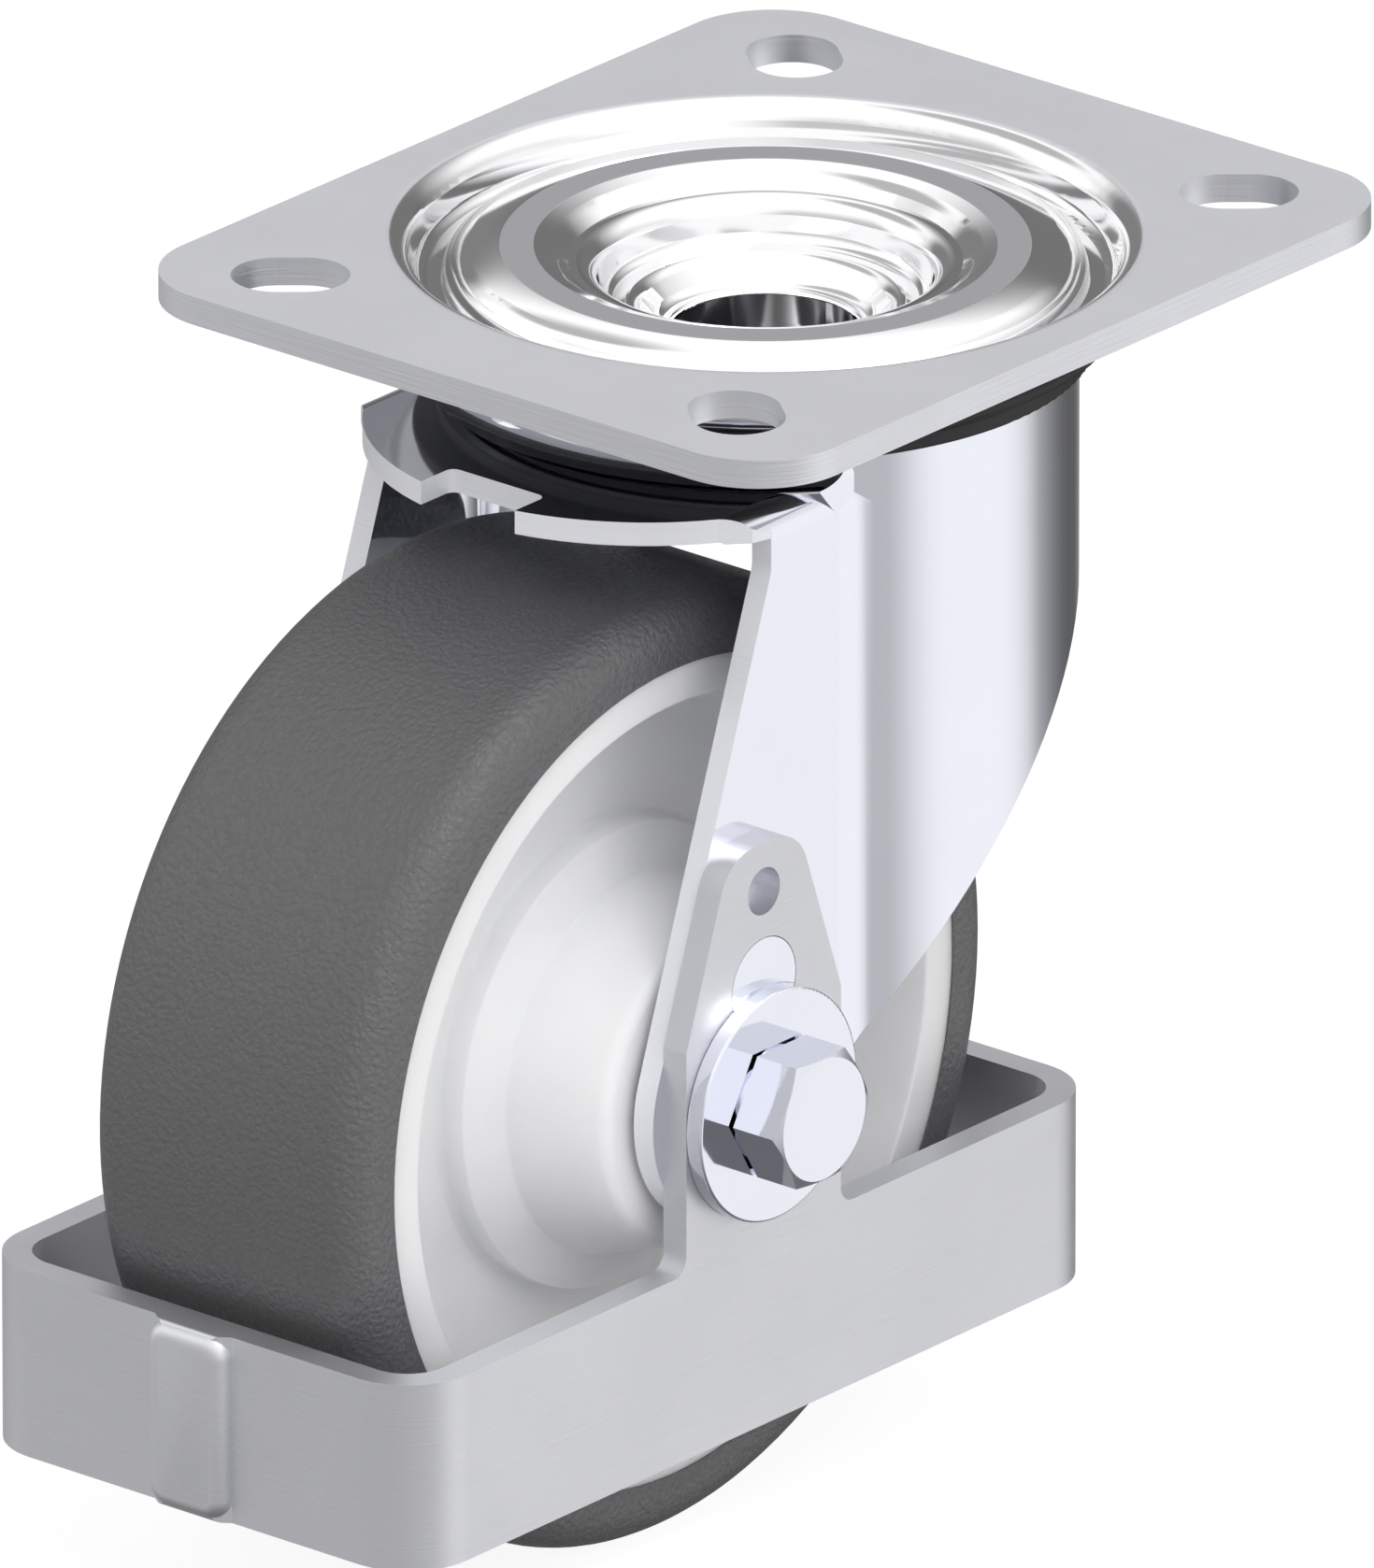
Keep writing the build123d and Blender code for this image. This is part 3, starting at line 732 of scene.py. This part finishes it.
def bearing_steel():
    """Ground and hardened bearing steel with turning marks."""
    material, tree, shader, place = start_material("Bearing steel", (0.6, 0.6, 0.62), 1, 0.2)
    lines = brush_lines(tree, place, 0.1 * mm, 20 * mm)
    dark = (0.52, 0.52, 0.54, 1)
    light = (0.68, 0.68, 0.70, 1)
    sockets = {
        "Base Color": blend_colour(tree, lines, dark, light),
        "Roughness": between(tree, lines, *bearing_roughness),
    }
    feed(tree, shader, sockets)
    return material


def black_rubber():
    """Smooth black seal rubber with faint bloom."""
    material, tree, shader, place = start_material("Black rubber", (0.012, 0.012, 0.013), 0, 0.4)
    colours = ((0.010, 0.010, 0.011, 1), (0.020, 0.020, 0.022, 1))
    patches = mottle(tree, shader, place, 6 * mm, colours, rubber_roughness)
    feed(tree, shader, {"Normal": bump(tree, patches, 0.02 * mm)})
    return material


def nylon():
    """Pale nylon locking ring."""
    material, tree, shader, place = start_material("Nylon insert", (0.75, 0.75, 0.7), 0, 0.45)
    colours = ((0.70, 0.70, 0.65, 1), (0.80, 0.80, 0.76, 1))
    mottle(tree, shader, place, 2 * mm, colours)
    return material


def white_plastic(wheel):
    """Moulded white plastic, satin and faintly cloudy."""
    material, tree, shader, place = start_material("White plastic", wheel.centre_colour, 0, 0.36)
    colours = shades(wheel.centre_colour, plastic_shades)
    mottle(tree, shader, place, 14 * mm, colours, plastic_roughness)
    fine = soft_patches(tree, place, 4 * mm)
    feed(tree, shader, {"Normal": bump(tree, fine, 0.012 * mm)})
    shader["Subsurface Weight"].default_value = 0.5
    shader["Subsurface Radius"].default_value = (1.0, 1.0, 1.0)
    shader["Subsurface Scale"].default_value = 6.0 * mm
    return material


def tyre_rubber(wheel):
    """Dark tyre with a fine leathery grain."""
    material, tree, shader, place = start_material("Tyre", wheel.tyre_colour, 0, 0.5)
    inputs = {"Vector": place["Object"], "Size": wheel.grain_size}
    grain = use_group(tree, "Leathery grain", inputs)
    worn = step_up(tree, grain, 0.35, 1.1)
    sockets = {
        "Base Color": blend_colour(tree, worn, *shades(wheel.tyre_colour, tyre_shades)),
        "Roughness": between(tree, worn, *tyre_roughness),
        "Normal": bump(tree, grain, wheel.grain_depth),
    }
    feed(tree, shader, sockets)
    shader["Specular IOR Level"].default_value = 0.9
    return material


def dress(material, names):
    """Gives CAD nodes their material."""
    for name in names:
        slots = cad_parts[name].data.materials
        slots.clear()
        slots.append(material)


# Pieces
class CASTER_OT_sheet_steel(bpy.types.Operator):
    """Finishes the mounting plate, the foot guard and the axle tube in satin plated steel"""

    bl_idname = "caster.sheet_steel"
    bl_label = "Plate and Guard"

    def execute(self, context):
        steel = context.scene.caster_steel
        dress(plate_steel(steel), ["top_plate"])
        dress(satin_steel(steel), ["foot_guard", "axle_tube"])
        return {"FINISHED"}


class CASTER_OT_bright_steel(bpy.types.Operator):
    """Finishes the fork, the rivet and the bolt parts in mirror-bright plating"""

    bl_idname = "caster.bright_steel"
    bl_label = "Fork and Fasteners"

    def execute(self, context):
        steel = context.scene.caster_steel
        names = ["lower_ball_cup", "axle_bolt", "bolt_washer", "nut_washer", "lock_nut"]
        dress(bright_steel("Bright plated steel", steel.bright_colour, steel), names)
        dress(bright_steel("Polished rivet", steel.polished_colour, steel), ["kingpin"])
        dress(fork_steel(steel), ["fork"])
        return {"FINISHED"}


class CASTER_OT_bearings(bpy.types.Operator):
    """Finishes the swivel races, the wheel bearings, the seal and the locking ring"""

    bl_idname = "caster.bearings"
    bl_label = "Bearings and Seals"

    def execute(self, context):
        names = [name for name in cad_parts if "bearing" in name or "ball_race" in name]
        dress(bearing_steel(), names)
        dress(black_rubber(), ["swivel_seal"])
        dress(nylon(), ["nut_insert"])
        return {"FINISHED"}


class CASTER_OT_wheel(bpy.types.Operator):
    """Finishes the white wheel centre and the dark tyre"""

    bl_idname = "caster.wheel"
    bl_label = "Wheel"

    def execute(self, context):
        wheel = context.scene.caster_wheel
        dress(white_plastic(wheel), ["wheel_centre"])
        dress(tyre_rubber(wheel), ["tyre"])
        return {"FINISHED"}


def add_object(name, shape):
    """Turns a bmesh into an object in the scene."""
    mesh = bpy.data.meshes.new(name)
    shape.to_mesh(mesh)
    shape.free()
    made = bpy.data.objects.new(name, mesh)
    bpy.context.scene.collection.objects.link(made)
    return made


def add_piece(name, shape, like):
    """Turns a closed bmesh into an object with the material of a CAD node."""
    bmesh.ops.recalc_face_normals(shape, faces=shape.faces)
    made = add_object(name, shape)
    made.data.materials.append(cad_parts[like].data.materials[0])
    return made


class CASTER_OT_bolt_thread(bpy.types.Operator):
    """Cuts the thread on the end of the axle bolt"""

    bl_idname = "caster.bolt_thread"
    bl_label = "Bolt Thread"

    def execute(self, context):
        thread = context.scene.caster_thread
        turns_short_of_end = 0.6
        sunk = 0.1 * mm
        foot_share = 0.45
        crest_share = 0.06

        low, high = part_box("axle_bolt")
        middle = Vector(((low[0] + high[0]) / 2, 0, (low[2] + high[2]) / 2))
        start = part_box("lock_nut")[1][1] - thread.pitch / 4
        turns = (high[1] - start) / thread.pitch - turns_short_of_end
        root = thread.radius - thread.depth - sunk
        section = (
            (root, -foot_share),
            (thread.radius, -crest_share),
            (thread.radius, crest_share),
            (root, foot_share),
        )
        shape = bmesh.new()
        corners = [
            shape.verts.new(middle + Vector((radius, start + share * thread.pitch, 0)))
            for radius, share in section
        ]
        rim = [shape.edges.new((a, b)) for a, b in zip(corners, corners[1:] + corners[:1])]
        bmesh.ops.spin(
            shape,
            geom=corners + rim,
            cent=middle,
            axis=(0, 1, 0),
            dvec=(0, thread.pitch / thread.steps, 0),
            angle=tau * turns,
            steps=round(turns * thread.steps),
            use_merge=False,
        )
        ends = [edge for edge in shape.edges if edge.is_boundary]
        bmesh.ops.holes_fill(shape, edges=ends)
        ridge = add_piece("bolt_thread", shape, "axle_bolt")
        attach(ridge, "swivel_fork")
        return {"FINISHED"}


class CASTER_OT_weld_bead(bpy.types.Operator):
    """Lays the ground weld bead over the joint of the guard's strip"""

    bl_idname = "caster.weld_bead"
    bl_label = "Weld Bead"

    def execute(self, context):
        weld = context.scene.caster_weld
        lift = 0.1 * mm
        outer_face = -0.9 * weld.proud
        rounded = {"segments": 6, "profile": 0.5, "affect": "EDGES", "material": -1}

        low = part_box("foot_guard")[0]
        middle = Vector((low[0] + weld.proud, 0, low[2] + weld.height / 2 + lift))
        size = (2 * weld.proud, weld.width, weld.height)
        shape = bmesh.new()
        bmesh.ops.create_cube(shape, size=1)
        bmesh.ops.scale(shape, vec=size, verts=shape.verts)
        along = [
            edge
            for edge in shape.edges
            if abs(edge.verts[0].co.x - edge.verts[1].co.x) > weld.proud
        ]
        bmesh.ops.bevel(shape, geom=along, offset=weld.corner, **rounded)
        rim = [
            edge for edge in shape.edges if all(vert.co.x < outer_face for vert in edge.verts)
        ]
        bmesh.ops.bevel(shape, geom=rim, offset=weld.rounding, **rounded)
        bmesh.ops.translate(shape, vec=middle, verts=shape.verts)
        bead = add_piece("guard_weld", shape, "foot_guard")
        bead.data.shade_smooth()
        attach(bead, "swivel_fork")
        return {"FINISHED"}


# Stage
white = (1, 1, 1, 1)
floor_width = 30
floor_lit_share = 0.22
floor_glow = 0.91

# Long lens for a view that is nearly parallel, the width it takes in and where it aims
lens = 1400
sensor_width = 36
view_width = 0.15668
aim_right = -0.00786
aim_above = -0.05506

# Lamps: name, place, width and power against the key light's setting
lamps = (
    ("key light", (-0.5, -0.35, 0.75), 0.5, 7),
    ("side light", (0.5, -0.7, 0.25), 0.5, 3),
    ("front light", (-0.35, -0.78, 0.47), 0.7, 10),
)
lamp_target = Vector((-0.02, 0, -0.06))

# Sky in reflections: brightness below, round about and overhead, and the heights in between
ground_level = 0.16
wall_level = 0.56
ceiling_level = 1.12
ground_to_wall = (-0.85, -0.3)
wall_to_ceiling = (0.1, 0.72)

# Soft lights and dark cards of the studio: azimuth, elevation, outer and inner radius in
# degrees, and brightness
studio_patches = (
    (25, -5, 57, 20, 0.12),
    (60, -22, 40, 10, 0.36),
    (-57, -8, 40, 16, 1.0),
    (-110, 32, 45, 20, 1.1),
    (112, 20, 28, 12, 1.1),
    (18, 10, 23, 12, 0.18),
    (65, 10, 22, 11, 0.22),
    (84, 52, 20, 10, 0.5),
    (-65, 62, 22, 8, 4.5),
)


def add_floor(height):
    """Wide level floor that faces up."""
    shape = bmesh.new()
    bmesh.ops.create_grid(shape, x_segments=1, y_segments=1, size=floor_width / 2)
    bmesh.ops.translate(shape, vec=(0, 0, height), verts=shape.verts)
    panel = add_object("floor", shape)
    return panel


def floor_material(colour):
    """Pale floor, white to the camera apart from its shadows and clear from below."""
    material = bpy.data.materials.new("Studio floor")
    material.use_nodes = True
    tree = material.node_tree
    tree.nodes.clear()
    seen = put(tree, "ShaderNodeLightPath").outputs["Is Camera Ray"]
    lit, half_lit = (
        put(tree, "ShaderNodeBsdfDiffuse", None, {"Color": shade}).outputs[0]
        for shade in shades(colour, (1.0, floor_lit_share))
    )
    inputs = {"Color": white, "Strength": floor_glow}
    glow = put(tree, "ShaderNodeEmission", None, inputs).outputs[0]
    bright = put(tree, "ShaderNodeAddShader", None, {0: half_lit, 1: glow}).outputs[0]
    mixed = put(tree, "ShaderNodeMixShader", None, {0: seen, 1: lit, 2: bright}).outputs[0]
    behind = put(tree, "ShaderNodeNewGeometry").outputs["Backfacing"]
    clear = put(tree, "ShaderNodeBsdfTransparent").outputs[0]
    surface = put(tree, "ShaderNodeMixShader", None, {0: behind, 1: mixed, 2: clear}).outputs[0]
    put(tree, "ShaderNodeOutputMaterial", None, {"Surface": surface})
    return material


def add_camera(scene, azimuth, elevation):
    """Camera that looks at the caster from a direction."""
    back = Vector(
        (sin(azimuth) * cos(elevation), -cos(azimuth) * cos(elevation), sin(elevation))
    )
    right = Vector((cos(azimuth), sin(azimuth), 0))
    above = back.cross(right)
    camera = bpy.data.cameras.new("camera")
    camera.lens = lens
    camera.sensor_width = sensor_width
    camera.clip_end = 100
    distance = view_width * lens / sensor_width
    holder = bpy.data.objects.new("camera", camera)
    holder.location = right * aim_right + above * aim_above + back * distance
    holder.rotation_mode = "QUATERNION"
    holder.rotation_quaternion = back.to_track_quat("Z", "Y")
    scene.collection.objects.link(holder)
    scene.camera = holder


def add_lamp(name, position, size, power):
    """Large square lamp that reflections don't show."""
    lamp = bpy.data.lights.new(name, "AREA")
    lamp.shape = "SQUARE"
    lamp.size = size
    lamp.energy = power
    holder = bpy.data.objects.new(name, lamp)
    holder.location = position
    holder.rotation_mode = "QUATERNION"
    holder.rotation_quaternion = (Vector(position) - lamp_target).to_track_quat("Z", "Y")
    holder.visible_glossy = False
    bpy.context.scene.collection.objects.link(holder)


def towards(azimuth, elevation):
    """Unit vector of a direction given in degrees."""
    turn = radians(azimuth)
    rise = radians(elevation)
    return cos(turn) * cos(rise), sin(turn) * cos(rise), sin(rise)


def build_world(scene, studio):
    """White to the camera, a soft grey studio in reflections and an even fill elsewhere."""
    world = bpy.data.worlds.new("Studio world")
    scene.world = world
    world.use_nodes = True
    world.cycles.sampling_method = "NONE"
    tree = world.node_tree
    tree.nodes.clear()
    direction = put(tree, "ShaderNodeTexCoord").outputs["Generated"]
    height = axes(tree, direction)[2]
    low = between(tree, step_up(tree, height, *ground_to_wall), ground_level, wall_level)
    level = between(tree, step_up(tree, height, *wall_to_ceiling), low, ceiling_level)
    for azimuth, elevation, outer, inner, brightness in studio_patches:
        inputs = {
            "Direction": direction,
            "Centre": towards(azimuth, elevation),
            "Outer edge": cos(radians(outer)),
            "Inner edge": cos(radians(inner)),
        }
        level = between(tree, use_group(tree, "Soft light", inputs), level, brightness)
    path = put(tree, "ShaderNodeLightPath").outputs
    lit = between(tree, path["Is Glossy Ray"], studio.fill_strength, level)
    strength = between(tree, path["Is Camera Ray"], lit, 1.0)
    sky = put(tree, "ShaderNodeBackground", None, {"Color": white, "Strength": strength})
    put(tree, "ShaderNodeOutputWorld", None, {"Surface": sky.outputs[0]})


class CASTER_OT_studio(bpy.types.Operator):
    """Builds the floor, the lights and the camera"""

    bl_idname = "caster.studio"
    bl_label = "Studio"

    def execute(self, context):
        studio = context.scene.caster_studio
        floor = add_floor(packed_box[0][2])
        floor.data.materials.append(floor_material(studio.floor_colour))
        floor.visible_glossy = False
        add_camera(context.scene, studio.azimuth, studio.elevation)
        for name, position, size, power in lamps:
            add_lamp(name, position, size, studio.key_power * power)
        build_world(context.scene, studio)
        context.scene.view_settings.view_transform = "Standard"
        return {"FINISHED"}


class CASTER_PT_panel(bpy.types.Panel):
    """Lists the caster's operators in the sidebar"""

    bl_idname = "CASTER_PT_panel"
    bl_label = "Swivel Caster"
    bl_space_type = "VIEW_3D"
    bl_region_type = "UI"
    bl_category = "Caster"

    def draw(self, context):
        for operator in operators:
            self.layout.operator(operator.bl_idname)


operators = (
    CASTER_OT_sheet_steel,
    CASTER_OT_bright_steel,
    CASTER_OT_bearings,
    CASTER_OT_wheel,
    CASTER_OT_bolt_thread,
    CASTER_OT_weld_bead,
    CASTER_OT_studio,
)


def register():
    for group in settings_groups.values():
        bpy.utils.register_class(group)
    for name, group in settings_groups.items():
        setattr(bpy.types.Scene, name, PointerProperty(type=group))
    for operator in operators:
        bpy.utils.register_class(operator)
    bpy.utils.register_class(CASTER_PT_panel)


def unregister():
    bpy.utils.unregister_class(CASTER_PT_panel)
    for operator in reversed(operators):
        bpy.utils.unregister_class(operator)
    for name in settings_groups:
        delattr(bpy.types.Scene, name)
    for group in reversed(list(settings_groups.values())):
        bpy.utils.unregister_class(group)


def main():
    register()
    bpy.ops.caster.sheet_steel()
    bpy.ops.caster.bright_steel()
    bpy.ops.caster.bearings()
    bpy.ops.caster.wheel()
    bpy.ops.caster.bolt_thread()
    bpy.ops.caster.weld_bead()
    bpy.ops.caster.studio()


if __name__ == "__main__":
    main()
